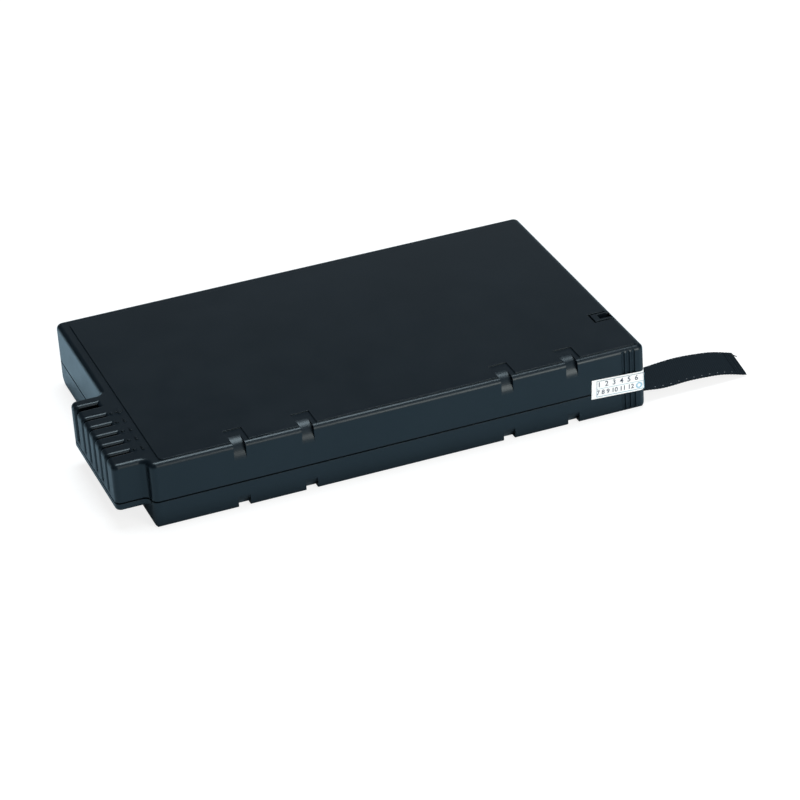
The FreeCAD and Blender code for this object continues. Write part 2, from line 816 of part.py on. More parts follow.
def make_insulator_sheet():
    """Paper strip behind the first series strap, towards the pair of cells."""
    half = strap_half_width + sheet_past_strap
    face = row_rear + strap_thickness
    low = (row_places[0] - strap_overhang, face, axis_height - half)
    end = row_places[2 * cells_per_group - 1] + strap_overhang
    return box(low, (end, face + sheet_thickness, axis_height + half))


def make_foam_pad():
    """Foam strip on the right end wall, beside the last row cell."""
    front = (row_front + row_rear - foam_length) / 2
    low = (row_places[-1] + cell_radius + foam_clearance, front, axis_height - foam_half_height)
    high = (inner_right, front + foam_length, axis_height + foam_half_height)
    return box(low, high)


def make_pieces():
    """Every piece of the pack by its name."""
    pieces = {
        "upper_shell": make_upper_shell(),
        "lower_shell": make_lower_shell(),
        "label_sticker": make_label_sticker(),
        "pull_tab": make_pull_tab(),
    }
    for number, (start, axis) in enumerate(cell_ends(), 1):
        pieces["cell_%d" % number] = make_cell(start, axis)
        pieces["end_ring_%d" % number] = make_end_ring(start, axis)
    pieces.update(make_straps())
    pieces.update(make_board_parts())
    for number, place in enumerate(reversed(slot_places), 1):
        pieces["contact_%d" % number] = make_contact(place)
    pieces["contact_carrier"] = make_contact_carrier()
    pieces.update(make_leads())
    pieces["insulator_sheet"] = make_insulator_sheet()
    pieces["foam_pad"] = make_foam_pad()
    return pieces


os.makedirs("parts", exist_ok=True)
for name, shape in make_pieces().items():
    shape.exportStep("parts/%s.step" % name)
    size = shape.BoundBox
    print(name, "solids", len(shape.Solids), "valid", shape.isValid(), "volume %.1f" % shape.Volume,
          "size %.1f x %.1f x %.1f" % (size.XLength, size.YLength, size.ZLength))
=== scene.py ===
# %% [markdown]
# # Monitor battery pack
# A flat battery pack slides into a bay of a monitor. It is a dark moulded case in two halves, with slots
# for the bay's contact blades on its left end and a woven tape at its right end to pull it out. The
# measured solids come in as a fixed frame. This notebook gives them their finishes, and models the tape
# and the print on the sticker anew.

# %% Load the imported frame
import math

import bpy
from mathutils import Matrix, Quaternion, Vector


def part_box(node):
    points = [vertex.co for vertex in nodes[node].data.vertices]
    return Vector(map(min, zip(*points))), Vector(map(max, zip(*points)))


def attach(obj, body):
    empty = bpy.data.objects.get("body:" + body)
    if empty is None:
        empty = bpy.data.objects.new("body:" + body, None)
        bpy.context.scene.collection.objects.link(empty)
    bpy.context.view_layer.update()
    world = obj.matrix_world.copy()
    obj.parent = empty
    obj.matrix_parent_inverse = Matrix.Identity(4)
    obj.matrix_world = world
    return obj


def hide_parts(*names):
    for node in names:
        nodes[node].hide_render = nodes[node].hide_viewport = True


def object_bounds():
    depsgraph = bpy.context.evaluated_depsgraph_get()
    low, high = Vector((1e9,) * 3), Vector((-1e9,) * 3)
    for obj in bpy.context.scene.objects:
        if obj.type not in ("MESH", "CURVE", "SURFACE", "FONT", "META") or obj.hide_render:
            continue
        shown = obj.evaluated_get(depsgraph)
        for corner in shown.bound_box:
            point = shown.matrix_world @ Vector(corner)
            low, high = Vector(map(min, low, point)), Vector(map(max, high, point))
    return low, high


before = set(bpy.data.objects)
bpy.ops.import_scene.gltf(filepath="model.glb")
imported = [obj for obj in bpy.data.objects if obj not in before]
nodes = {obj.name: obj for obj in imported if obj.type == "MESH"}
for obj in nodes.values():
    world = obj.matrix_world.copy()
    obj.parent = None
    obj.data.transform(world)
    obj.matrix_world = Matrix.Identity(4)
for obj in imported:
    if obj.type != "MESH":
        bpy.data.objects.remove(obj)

scene = bpy.context.scene
cad_low, cad_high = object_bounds()
mm = 0.001
print("loaded", len(nodes), "solids, size in mm", [round(side / mm, 1) for side in cad_high - cad_low])

# %% [markdown]
# ## Camera
# The photograph was taken from the front left, about 30 degrees above the table, with a long lens, so the
# edges of the case stay nearly parallel. The camera could be turned by three angles, but it is easier to
# read as a place, a point that it looks at and a small roll about its own axis, because the picture hangs
# down a little to the right.

# %% Camera
camera_place = Vector((-252.4, -758.3, 447.0)) * mm
camera_aim = Vector((11.43, -9.8, -0.12)) * mm
camera_roll = math.radians(-3.928)
lens_length = 147.838
sensor_width = 36.0
nearest_seen = 0.01

bpy.ops.object.select_all(action="DESELECT")
bpy.ops.object.camera_add(location=camera_place)
camera = bpy.context.object
camera.name = "studio_camera"
camera.rotation_mode = "QUATERNION"
look = (camera_aim - camera_place).to_track_quat("-Z", "Y")
camera.rotation_quaternion = look @ Quaternion((0.0, 0.0, 1.0), camera_roll)
camera.data.lens = lens_length
camera.data.sensor_width = sensor_width
camera.data.clip_start = nearest_seen
scene.camera = camera
scene.view_settings.view_transform = "Standard"
print("camera at", [round(value, 3) for value in camera_place])
print("lens of", round(lens_length, 1), "mm")

# %% [markdown]
# ## Studio floor
# The pack lies on a white table that fills the picture. A pure diffuse floor would only be white under
# too much light for the dark case, so the floor glows a little, and only for the rays of the camera and
# of reflections. Its diffuse part stays, and keeps a soft shadow under the case. Reflections see more of
# the true table than the camera does, so the foot of the case mirrors its own shadow.

# %% Helpers for node trees
def add_node(tree, kind, **settings):
    """New node with its plain properties set, such as an operation."""
    node = tree.nodes.new(kind)
    for name, value in settings.items():
        setattr(node, name, value)
    return node


def join(tree, source, target):
    """Link from one socket to another."""
    tree.links.new(source, target)


def math_node(tree, operation, first, second=None):
    """Math node whose inputs are sockets or plain numbers; returns its result socket."""
    node = add_node(tree, "ShaderNodeMath", operation=operation)
    for socket, value in zip(node.inputs, (first, second)):
        if isinstance(value, bpy.types.NodeSocket):
            join(tree, value, socket)
        elif value is not None:
            socket.default_value = value
    return node.outputs[0]


print("node helpers ready")

# %% Helpers for the floor
def table_top(tree, colour, glow):
    """Diffuse colour with a glow of its own in that colour; returns the shader's socket."""
    paint = add_node(tree, "ShaderNodeBsdfDiffuse")
    paint.inputs["Color"].default_value = (*colour, 1.0)
    light = add_node(tree, "ShaderNodeEmission")
    light.inputs["Color"].default_value = (*colour, 1.0)
    light.inputs["Strength"].default_value = glow
    both = add_node(tree, "ShaderNodeAddShader")
    join(tree, paint.outputs[0], both.inputs[0])
    join(tree, light.outputs[0], both.inputs[1])
    return both.outputs[0]


def choose(tree, factor, first, second):
    """Mix shader that takes the second one where the factor is 1; returns its socket."""
    mix = add_node(tree, "ShaderNodeMixShader")
    join(tree, factor, mix.inputs[0])
    join(tree, first, mix.inputs[1])
    join(tree, second, mix.inputs[2])
    return mix.outputs[0]


print("floor helpers ready")

# %% Floor
floor_size = 60.0
floor_drop = 0.05 * mm
bare_white = (0.8, 0.8, 0.8)
mirrored_white = (0.64, 0.86, 1.0)
seen_grey = (0.25, 0.25, 0.25)

bpy.ops.mesh.primitive_plane_add(size=floor_size, location=(0.0, 0.0, -floor_drop))
floor = bpy.context.object
floor.name = "studio_floor"

floor_finish = bpy.data.materials.new("white_table")
floor_finish.use_nodes = True
tree = floor_finish.node_tree
tree.nodes.clear()
path = add_node(tree, "ShaderNodeLightPath")
mirrored = math_node(tree, "MAXIMUM", path.outputs["Is Glossy Ray"], path.outputs["Is Transmission Ray"])
bare_table = table_top(tree, bare_white, glow=0.0)
mirrored_table = table_top(tree, mirrored_white, glow=0.03)
seen_table = table_top(tree, seen_grey, glow=3.3)
table = choose(tree, mirrored, bare_table, mirrored_table)
table = choose(tree, path.outputs["Is Camera Ray"], table, seen_table)
floor_output = add_node(tree, "ShaderNodeOutputMaterial")
join(tree, table, floor_output.inputs["Surface"])
floor.data.materials.append(floor_finish)
print("floor is", floor_size, "m wide")

# %% [markdown]
# ## Light
# Two highlights run side by side along the round front edge, so two soft lamps lit the pack: one nearly
# overhead and one low in front. The left end is bright because it mirrors the white table at a flat
# angle. The room itself is dim, so the roof of the case stays dark. Two weak cards stand in for pale
# walls: one in front and above, which shows as the grey between the two highlights, and one behind the
# pack, which lifts the far side of the roof a little. The light is a cool daylight, which gives the dark
# plastic its blue tone, and only the front lamp is warmer.

# %% Room
cool_white = (0.86, 0.95, 1.0)
room_strength = 0.05
world = bpy.data.worlds.new("studio_room")
scene.world = world
world.use_nodes = True
room = world.node_tree.nodes["Background"]
room.inputs["Color"].default_value = (*cool_white, 1.0)
room.inputs["Strength"].default_value = room_strength
print("room at", room_strength)

# %% Softboxes
def add_softbox(name, place, width, height, power, colour):
    """Lamp that is turned to face the pack, with its place and size in metres and its power in watts."""
    bpy.ops.object.light_add(type="AREA", location=place)
    lamp = bpy.context.object
    lamp.name = name
    lamp.rotation_euler = Vector(place).to_track_quat("Z", "Y").to_euler()
    lamp.data.shape = "RECTANGLE"
    lamp.data.size = width
    lamp.data.size_y = height
    lamp.data.energy = power
    lamp.data.color = colour
    lamp.visible_camera = False
    print(name, "with", power, "W")


warm_white = (1.0, 0.96, 0.90)
add_softbox("overhead_softbox", (0.11, 0.18, 1.14), width=0.6, height=0.6, power=13.5, colour=cool_white)
add_softbox("front_softbox", (0.56, -1.06, 0.37), width=0.6, height=0.6, power=10.0, colour=warm_white)
add_softbox("front_card", (0.38, -0.80, 1.0), width=1.0, height=0.6, power=2.2, colour=cool_white)
add_softbox("back_card", (0.32, 0.60, 0.22), width=0.7, height=0.16, power=0.18, colour=cool_white)

# %% [markdown]
# ## Case plastic
# Both halves are moulded in a dark blue grey plastic with a satin face. Close up, the satin is a fine
# grain that the mould left, and the gloss changes a little from place to place. The colour and the gloss
# come from wide soft noise, and the grain from fine noise through a Bump node. Object coordinates are in
# metres here, so a scale of 2000 makes grains of half a millimetre. No moulded edge is truly sharp, so a
# Bevel node rounds the normals of the small edges. The end of the contact block, where the case is lowest
# in x, is a little rougher, and mirrors less of the table.

# %% Helpers for finishes
def start_finish(name):
    """Material with a Principled shader; returns the material, its node tree and the shader."""
    finish = bpy.data.materials.new(name)
    finish.use_nodes = True
    shader = finish.node_tree.nodes["Principled BSDF"]
    return finish, finish.node_tree, shader


def object_place(tree, stretch=(1.0, 1.0, 1.0)):
    """Object coordinates, stretched by a Mapping node."""
    place = add_node(tree, "ShaderNodeTexCoord")
    mapping = add_node(tree, "ShaderNodeMapping")
    mapping.inputs["Scale"].default_value = stretch
    join(tree, place.outputs["Object"], mapping.inputs["Vector"])
    return mapping.outputs["Vector"]


def soft_noise(tree, place, scale, detail=2.0):
    """Noise value between 0 and 1 at that place."""
    noise = add_node(tree, "ShaderNodeTexNoise")
    noise.inputs["Scale"].default_value = scale
    noise.inputs["Detail"].default_value = detail
    join(tree, place, noise.inputs["Vector"])
    return noise.outputs["Fac"]


def spread(tree, value, low, high, start=0.3, end=0.7):
    """Value from start to end, spread to numbers from low to high. Most noise lies from 0.3 to 0.7."""
    node = add_node(tree, "ShaderNodeMapRange")
    for name, number in (("From Min", start), ("From Max", end), ("To Min", low), ("To Max", high)):
        node.inputs[name].default_value = number
    join(tree, value, node.inputs["Value"])
    return node.outputs["Result"]


def two_tone(tree, value, first, second, start=0.3, end=0.7):
    """Colour between two tones, chosen by a noise value."""
    ramp = add_node(tree, "ShaderNodeValToRGB")
    ramp.color_ramp.elements[0].position = start
    ramp.color_ramp.elements[0].color = (*first, 1.0)
    ramp.color_ramp.elements[1].position = end
    ramp.color_ramp.elements[1].color = (*second, 1.0)
    join(tree, value, ramp.inputs["Fac"])
    return ramp.outputs["Color"]


def add_bump(tree, shader, height, depth, edge_round=0.0):
    """Bump of that depth in metres on the shader's normal, over edges that are rounded by that radius."""
    bump = add_node(tree, "ShaderNodeBump")
    bump.inputs["Distance"].default_value = depth
    join(tree, height, bump.inputs["Height"])
    if edge_round:
        soft_edge = add_node(tree, "ShaderNodeBevel", samples=8)
        soft_edge.inputs["Radius"].default_value = edge_round
        join(tree, soft_edge.outputs["Normal"], bump.inputs["Normal"])
    join(tree, bump.outputs["Normal"], shader.inputs["Normal"])


def dress(finish, *names):
    """Gives CAD nodes their finish."""
    for name in names:
        mesh = nodes[name].data
        mesh.materials.clear()
        mesh.materials.append(finish)
    print(finish.name, "on", len(names), "nodes")


print("finish helpers ready")

# %% Case plastic
case_dark = (0.0034, 0.0068, 0.0104)
case_pale = (0.0044, 0.0082, 0.0122)
mirror_tint = (0.78, 0.90, 0.95, 1.0)
grain_depth = 0.003 * mm
moulded_round = 0.1 * mm
coarse_extra = 0.13
coarse_start = cad_low.x + 0.2 * mm
coarse_stop = cad_low.x + 1.2 * mm

case_plastic, tree, shader = start_finish("case_plastic")
place = object_place(tree)
cloud = soft_noise(tree, place, scale=45.0, detail=3.0)
join(tree, two_tone(tree, cloud, case_dark, case_pale), shader.inputs["Base Color"])
smudge = soft_noise(tree, place, scale=120.0, detail=4.0)
along = add_node(tree, "ShaderNodeSeparateXYZ")
join(tree, place, along.inputs[0])
coarse_end = spread(tree, along.outputs["X"], coarse_extra, 0.0, start=coarse_start, end=coarse_stop)
satin = math_node(tree, "ADD", spread(tree, smudge, low=0.29, high=0.34), coarse_end)
join(tree, satin, shader.inputs["Roughness"])
shader.inputs["Specular IOR Level"].default_value = 0.29
shader.inputs["Specular Tint"].default_value = mirror_tint
grain = soft_noise(tree, place, scale=2200.0, detail=1.0)
add_bump(tree, shader, grain, grain_depth, edge_round=moulded_round)
dress(case_plastic, "upper_shell", "lower_shell")

# %% [markdown]
# ## Sticker
# A small white paper sticker closes the seam at the right front corner. Its face is paper: short pale
# fibres that lie mostly along it, and a slightly uneven gloss. The solid is already the right shape, so it
# only needs its finish.

# %% Sticker paper
paper_shade = (0.90, 0.92, 0.93)
paper_white = (0.97, 0.97, 0.97)
fibre_stretch = (1.0, 1.0, 4.0)
fibre_depth = 0.003 * mm

sticker_paper, tree, shader = start_finish("sticker_paper")
place = object_place(tree)
fibre_place = object_place(tree, fibre_stretch)
fibre = soft_noise(tree, fibre_place, scale=1500.0, detail=3.0)
join(tree, two_tone(tree, fibre, paper_shade, paper_white), shader.inputs["Base Color"])
uneven = soft_noise(tree, place, scale=600.0)
join(tree, spread(tree, uneven, low=0.45, high=0.6), shader.inputs["Roughness"])
shader.inputs["Specular IOR Level"].default_value = 0.4
add_bump(tree, shader, fibre, fibre_depth)
dress(sticker_paper, "label_sticker")

# %% [markdown]
# ## Print on the sticker
# The sticker carries a thin ruled frame, two rows of plain numbers for the months, and a faint round
# stamp. Each is a skin of ink, far thinner than the paper. It could be painted by nodes, but numbers are
# easier as text, so all the ink is modelled flat about the sticker's own middle, stood up against the
# front face, and tilted with the sticker.

# %% Put ink in place
sticker_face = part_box("label_sticker")[0].y
sticker_middle = Vector((62.45 * mm, sticker_face, 8.65 * mm))
sticker_tilt = math.radians(3.0)
upright = math.radians(90.0)


def stand_on_sticker(piece, across, up):
    """Stands a flat piece on the sticker's face, moved from the sticker's middle by that much in mm."""
    bpy.ops.object.select_all(action="DESELECT")
    piece.select_set(True)
    bpy.context.view_layer.objects.active = piece
    piece.location = (across * mm, up * mm, 0.0)
    bpy.ops.object.transform_apply(location=True, rotation=True, scale=True)
    stand = Quaternion((0.0, 1.0, 0.0), sticker_tilt) @ Quaternion((1.0, 0.0, 0.0), upright)
    piece.rotation_mode = "QUATERNION"
    piece.rotation_quaternion = stand
    piece.location = sticker_middle
    bpy.ops.object.transform_apply(location=True, rotation=True, scale=True)
    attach(piece, "root")


print("sticker's face at y =", round(sticker_middle.y / mm, 2), "mm")

# %% Ink
def ink_finish(name, pale, dark):
    """Thin ink that is a little worn: paler where the paper's grain took less of it."""
    finish, tree, shader = start_finish(name)
    place = object_place(tree)
    worn = soft_noise(tree, place, scale=2500.0, detail=2.0)
    join(tree, two_tone(tree, worn, pale, dark, start=0.35, end=0.65), shader.inputs["Base Color"])
    join(tree, spread(tree, worn, low=0.5, high=0.65), shader.inputs["Roughness"])
    return finish


rule_ink = ink_finish("rule_ink", pale=(0.22, 0.45, 0.56), dark=(0.08, 0.26, 0.36))
number_ink = ink_finish("number_ink", pale=(0.05, 0.08, 0.13), dark=(0.012, 0.02, 0.045))
stamp_ink = ink_finish("stamp_ink", pale=(0.45, 0.68, 0.80), dark=(0.16, 0.42, 0.62))
print("three inks ready")

# %% Rings of ink
ink_thickness = 0.006 * mm


def raise_ring(line, bands):
    """Keeps only the rim of the flat active piece, in bands that are each one line wide, and raises it."""
    bpy.ops.object.mode_set(mode="EDIT")
    bpy.ops.mesh.select_all(action="SELECT")
    for _ in range(bands):
        bpy.ops.mesh.inset(thickness=line * mm)
    bpy.ops.mesh.delete(type="FACE")
    bpy.ops.mesh.select_all(action="SELECT")
    bpy.ops.mesh.extrude_region_move(TRANSFORM_OT_translate={"value": (0.0, 0.0, ink_thickness)})
    bpy.ops.mesh.select_all(action="SELECT")
    bpy.ops.mesh.normals_make_consistent(inside=False)
    bpy.ops.object.mode_set(mode="OBJECT")


print("ink is", round(ink_thickness / mm, 3), "mm thick")

# %% Ruled frame
def add_ruled_box(name, width, height, line, across, up):
    """Thin rectangle of ink: a plane is inset, and its middle face deleted."""
    bpy.ops.object.select_all(action="DESELECT")
    bpy.ops.mesh.primitive_plane_add(size=1.0)
    piece = bpy.context.object
    piece.name = name
    piece.scale = (width * mm, height * mm, 1.0)
    bpy.ops.object.transform_apply(scale=True)
    raise_ring(line, bands=1)
    piece.data.materials.append(rule_ink)
    stand_on_sticker(piece, across, up)
    print(name, width, "x", height, "mm")


add_ruled_box("print_frame", width=14.3, height=4.9, line=0.14, across=0.55, up=0.0)
add_ruled_box("print_top_row", width=14.3, height=2.5, line=0.1, across=0.55, up=1.2)

# %% Numbers
stroke_swell = 0.03 * mm


def add_numbers(name, words, size, across, up):
    """Row of plain numbers, made a mesh before it is placed."""
    bpy.ops.object.select_all(action="DESELECT")
    bpy.ops.object.text_add()
    piece = bpy.context.object
    piece.name = name
    piece.data.body = words
    piece.data.size = size * mm
    piece.data.align_x = "CENTER"
    piece.data.align_y = "CENTER"
    piece.data.extrude = ink_thickness / 2
    piece.data.resolution_u = 4
    piece.data.offset = stroke_swell
    bpy.ops.object.convert(target="MESH")
    piece = bpy.context.object
    piece.data.materials.append(number_ink)
    stand_on_sticker(piece, across, up)
    print(name, len(piece.data.vertices), "points")


add_numbers("print_first_months", "1  2  3  4  5  6", size=2.1, across=-0.3, up=1.2)
add_numbers("print_last_months", "7 8 9 10 11 12", size=1.9, across=-1.0, up=-1.2)

# %% Stamp
stamp_radius = 0.95
bpy.ops.object.select_all(action="DESELECT")
bpy.ops.mesh.primitive_circle_add(vertices=40, radius=stamp_radius * mm, fill_type="NGON")
stamp = bpy.context.object
stamp.name = "print_stamp"
raise_ring(line=0.22, bands=2)
stamp.data.materials.append(stamp_ink)
stand_on_sticker(stamp, across=6.1, up=-1.2)
print("stamp of", stamp_radius, "mm radius")

# %% [markdown]
# ## Pull tape
# A black woven tape comes out of a slot in the right end wall. Inside, its tail is turned up against the
# wall, which holds it. Outside it runs level, leans a little to the front, and droops to its cut end. A
# cloth simulation would not know how stiff the sewn tape is, so the tape follows a middle line that is
# set by a few knots. A knot has a place along the case in metres, a height in millimetres and a lean in
# degrees.

# %% Knots of the tape
tape_knots = (
    (0.0693, 3.80, 0.0),
    (0.0711, 3.78, 0.5),
    (0.0770, 3.80, 9.0),
    (0.0850, 4.15, 10.5),
    (0.0930, 3.65, 9.5),
    (0.0970, 2.95, 9.5),
    (0.1022, 1.45, 9.0),
)
rounding_slack = 1e-9


def between_knots(place):
    """Height in metres and lean in radians at a place, on a smooth curve through the knots."""
    last = len(tape_knots) - 1
    index = max(i for i in range(last) if tape_knots[i][0] <= place + rounding_slack)
    before = tape_knots[max(index - 1, 0)]
    start = tape_knots[index]
    end = tape_knots[index + 1]
    after = tape_knots[min(index + 2, last)]
    span = end[0] - start[0]
    part = (place - start[0]) / span
    square, cube = part ** 2, part ** 3
    values = []
    for column in (1, 2):
        slope_start = (end[column] - before[column]) / (end[0] - before[0]) * span
        slope_end = (after[column] - start[column]) / (after[0] - start[0]) * span
        values.append(
            start[column] * (2 * cube - 3 * square + 1) + slope_start * (cube - 2 * square + part)
            + end[column] * (3 * square - 2 * cube) + slope_end * (cube - square)
        )
    return values[0] * mm, math.radians(values[1])


print("tape has", len(tape_knots), "knots")

# %% Middle line of the tape
tape_half = 0.35 * mm
wall_inside = 69.0 * mm
tail_top = 10.45 * mm
exit_height = 3.8 * mm
bend_radius = 0.65 * mm
bend_steps = 8
row_step = 0.14 * mm

line = []
tail_x = wall_inside - tape_half
tail_rows = int((tail_top - exit_height - bend_radius) / row_step)
for row in range(tail_rows):
    line.append((tail_x, tail_top - row * row_step, 0.0))
bend_x = tail_x + bend_radius
bend_z = exit_height + bend_radius
for step in range(bend_steps):
    angle = math.radians(180.0 + 90.0 * step / bend_steps)
    line.append((bend_x + bend_radius * math.cos(angle), bend_z + bend_radius * math.sin(angle), 0.0))
run_start, run_end = tape_knots[0][0], tape_knots[-1][0]
run_rows = int((run_end - run_start) / row_step)
for row in range(run_rows + 1):
    along = run_start + (run_end - run_start) * row / run_rows
    height, lean = between_knots(along)
    line.append((along, height, lean))

distance = [0.0]
for first, second in zip(line, line[1:]):
    distance.append(distance[-1] + math.dist(first[:2], second[:2]))
tape_length = distance[-1]
print("middle line has", len(line), "points over", round(tape_length / mm, 1), "mm")

# %% Directions along the tape
tape_low, tape_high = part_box("pull_tab")
tape_middle_y = (tape_low.y + tape_high.y) / 2


def tape_frame(row):
    """Middle point, width direction and face normal of the tape at a row."""
    before, after = line[max(row - 1, 0)], line[min(row + 1, len(line) - 1)]
    run = Vector((after[0] - before[0], 0.0, after[1] - before[1])).normalized()
    face = Vector((-run.z, 0.0, run.x))
    across = Vector((0.0, 1.0, 0.0))
    lean = line[row][2]
    middle = Vector((line[row][0], tape_middle_y, line[row][1]))
    width_way = across * math.cos(lean) + face * math.sin(lean)
    face_way = face * math.cos(lean) - across * math.sin(lean)
    return middle, width_way, face_way


print("tape's middle at y =", round(tape_middle_y / mm, 2), "mm")

# %% [markdown]
# ## Surface of the tape
# Woven tape has fine ribs across it, small scallops along its edges where the weft turns back, and
# thinner edges than middle. Its cut end was fused by heat, which left a few deeper ribs. All of these are
# small waves on the two faces, so the points are worked out row by row, and the rows are then joined to a
# closed skin.

# %% Points of the tape
tape_width = 10.2 * mm
columns = 44
rib_pitch = 0.62 * mm
rib_depth = 0.025 * mm
scallop_pitch = 0.95 * mm
scallop_depth = 0.10 * mm
fused_length = 3.2 * mm
fused_pitch = 0.95 * mm
fused_depth = 0.18 * mm
flat_share = 0.86
edge_share = 0.78

points, places = [], []
for side in (1.0, -1.0):
    for row in range(len(line)):
        middle, across, face = tape_frame(row)
        along = distance[row]
        to_end = tape_length - along
        scallop = scallop_depth * abs(math.sin(math.pi * along / scallop_pitch))
        rib = rib_depth * math.sin(2 * math.pi * along / rib_pitch + (math.pi if side < 0 else 0.0))
        if to_end < fused_length:
            rib = fused_depth * math.sin(2 * math.pi * to_end / fused_pitch)
        for column in range(columns + 1):
            part = 2.0 * column / columns - 1.0
            edge = max(0.0, abs(part) - flat_share) / (1.0 - flat_share)
            reach = part * (tape_width / 2 - scallop_depth + scallop * edge)
            round_share = math.sqrt(max(0.0, 1.0 - edge ** 2))
            thick = tape_half * (edge_share + (1.0 - edge_share) * round_share) + rib * (1.0 - edge)
            points.append(middle + across * reach + face * thick * side)
            places.append((along / mm, reach / mm))
print("tape has", len(points), "points")

# %% Faces of the tape
row_length = columns + 1
layer = len(line) * row_length
faces = []
for row in range(len(line) - 1):
    for column in range(columns):
        corner = row * row_length + column
        under = layer + corner
        faces.append((corner, corner + row_length, corner + row_length + 1, corner + 1))
        faces.append((under, under + 1, under + row_length + 1, under + row_length))
    for column, turn in ((0, False), (columns, True)):
        corner = row * row_length + column
        wall = (corner, layer + corner, layer + corner + row_length, corner + row_length)
        faces.append(wall[::-1] if turn else wall)
for row, turn in ((0, True), (len(line) - 1, False)):
    for column in range(columns):
        corner = row * row_length + column
        wall = (corner, layer + corner, layer + corner + 1, corner + 1)
        faces.append(wall[::-1] if turn else wall)
print("tape has", len(faces), "faces")

# %% Tape
smooth_limit = math.radians(50.0)
tape_mesh = bpy.data.meshes.new("pull_tape")
tape_mesh.from_pydata(points, [], faces)
weave_map = tape_mesh.uv_layers.new(name="weave")
for loop in tape_mesh.loops:
    weave_map.data[loop.index].uv = places[loop.vertex_index]
tape_mesh.validate()
tape = bpy.data.objects.new("pull_tape", tape_mesh)
scene.collection.objects.link(tape)
bpy.ops.object.select_all(action="DESELECT")
tape.select_set(True)
bpy.context.view_layer.objects.active = tape
bpy.ops.object.mode_set(mode="EDIT")
bpy.ops.mesh.select_all(action="SELECT")
bpy.ops.mesh.normals_make_consistent(inside=False)
bpy.ops.object.mode_set(mode="OBJECT")
bpy.ops.object.shade_smooth_by_angle(angle=smooth_limit)
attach(tape, "root")
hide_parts("pull_tab")
print("tape is", round(tape_length / mm, 1), "mm long")

# %% [markdown]
# ## Weave
# The tape is a plain weave: warp threads run along it and weft threads cross them, over and under in
# turn. The UV map holds millimetres along and across the tape, so two waves of that map, multiplied, give
# the raised crossings. They drive the bump and the colour. The colour is painted shade, darker in the
# hollows of the weave, and painted light, paler on the raised crossings, with a random fuzz on top. A
# little sheen gives the soft bloom of the fibres.

# %% Tape weave
warp_pitch = 0.8 * mm
# Tones of the weave: painted shade for the hollows, painted light for the raised crossings.
weave_hollow_painted_shade = (0.002, 0.0046, 0.0070)
weave_crossing_painted_light = (0.0080, 0.0140, 0.0200)
weave_depth = 0.03 * mm
fuzz_share = 0.8

tape_weave, tree, shader = start_finish("tape_weave")
weave_place = add_node(tree, "ShaderNodeUVMap", uv_map="weave")
thread = add_node(tree, "ShaderNodeSeparateXYZ")
join(tree, weave_place.outputs["UV"], thread.inputs[0])
weft_turn = math.tau / (rib_pitch / mm)
warp_turn = math.tau / (warp_pitch / mm)
weft = math_node(tree, "SINE", math_node(tree, "MULTIPLY", thread.outputs["X"], weft_turn))
warp = math_node(tree, "SINE", math_node(tree, "MULTIPLY", thread.outputs["Y"], warp_turn))
crossing = math_node(tree, "MULTIPLY", weft, warp)
fuzz = soft_noise(tree, weave_place.outputs["UV"], scale=6.0, detail=4.0)
height = math_node(tree, "ADD", crossing, math_node(tree, "MULTIPLY", fuzz, fuzz_share))
raised = spread(tree, height, low=0.0, high=1.0, start=-0.6, end=1.4)
# Colour follows the weave's height: painted shade in the hollows, painted light on the crossings.
weave_colour_painted_shading = two_tone(tree, raised, weave_hollow_painted_shade, weave_crossing_painted_light, start=0.2, end=0.8)
join(tree, weave_colour_painted_shading, shader.inputs["Base Color"])
join(tree, spread(tree, fuzz, low=0.6, high=0.85), shader.inputs["Roughness"])
shader.inputs["Specular IOR Level"].default_value = 0.08
shader.inputs["Sheen Weight"].default_value = 0.01
shader.inputs["Sheen Roughness"].default_value = 0.5
add_bump(tree, shader, raised, weave_depth)
tape.data.materials.append(tape_weave)
print("weave of", round(rib_pitch / mm, 2), "mm")

# %% [markdown]
# ## Stitches on the tape
# Along both edges the tape shows a row of small pale stitches, 2.4 millimetres apart. One stitch is a
# small sphere, flattened and drawn out along the tape. It is modelled once, and each copy gets its own
# mesh before all of them are joined to one piece.

# %% Copies of one stitch
stitch_pitch = 2.36 * mm
stitch_setback = 0.42 * mm
stitch_start = 74.4 * mm
stitch_size = (0.40 * mm, 0.26 * mm, 0.20 * mm)

bpy.ops.object.select_all(action="DESELECT")
bpy.ops.mesh.primitive_uv_sphere_add(segments=10, ring_count=6, radius=0.5)
pattern_stitch = bpy.context.object
pattern_stitch.scale = stitch_size
bpy.ops.object.transform_apply(scale=True)
bpy.ops.object.shade_smooth()

stitches = []
next_stitch = None
for row in range(len(line)):
    if line[row][0] < stitch_start or tape_length - distance[row] < fused_length:
        continue
    if next_stitch is None:
        next_stitch = distance[row]
    if distance[row] < next_stitch:
        continue
    next_stitch += stitch_pitch
    middle, across, face = tape_frame(row)
    turn = Matrix((across.cross(face), across, face)).transposed().to_4x4()
    for edge in (-1.0, 1.0):
        for side in (-1.0, 1.0):
            copy = bpy.data.objects.new("stitch", pattern_stitch.data.copy())
            scene.collection.objects.link(copy)
            place = middle + across * edge * (tape_width / 2 - stitch_setback) + face * side * tape_half
            copy.matrix_world = Matrix.Translation(place) @ turn
            stitches.append(copy)
bpy.data.objects.remove(pattern_stitch)
print("tape has", len(stitches), "stitches")

# %% Stitches
stitch_shade = (0.07, 0.08, 0.09)
stitch_pale = (0.18, 0.20, 0.22)
twist_depth = 0.02 * mm

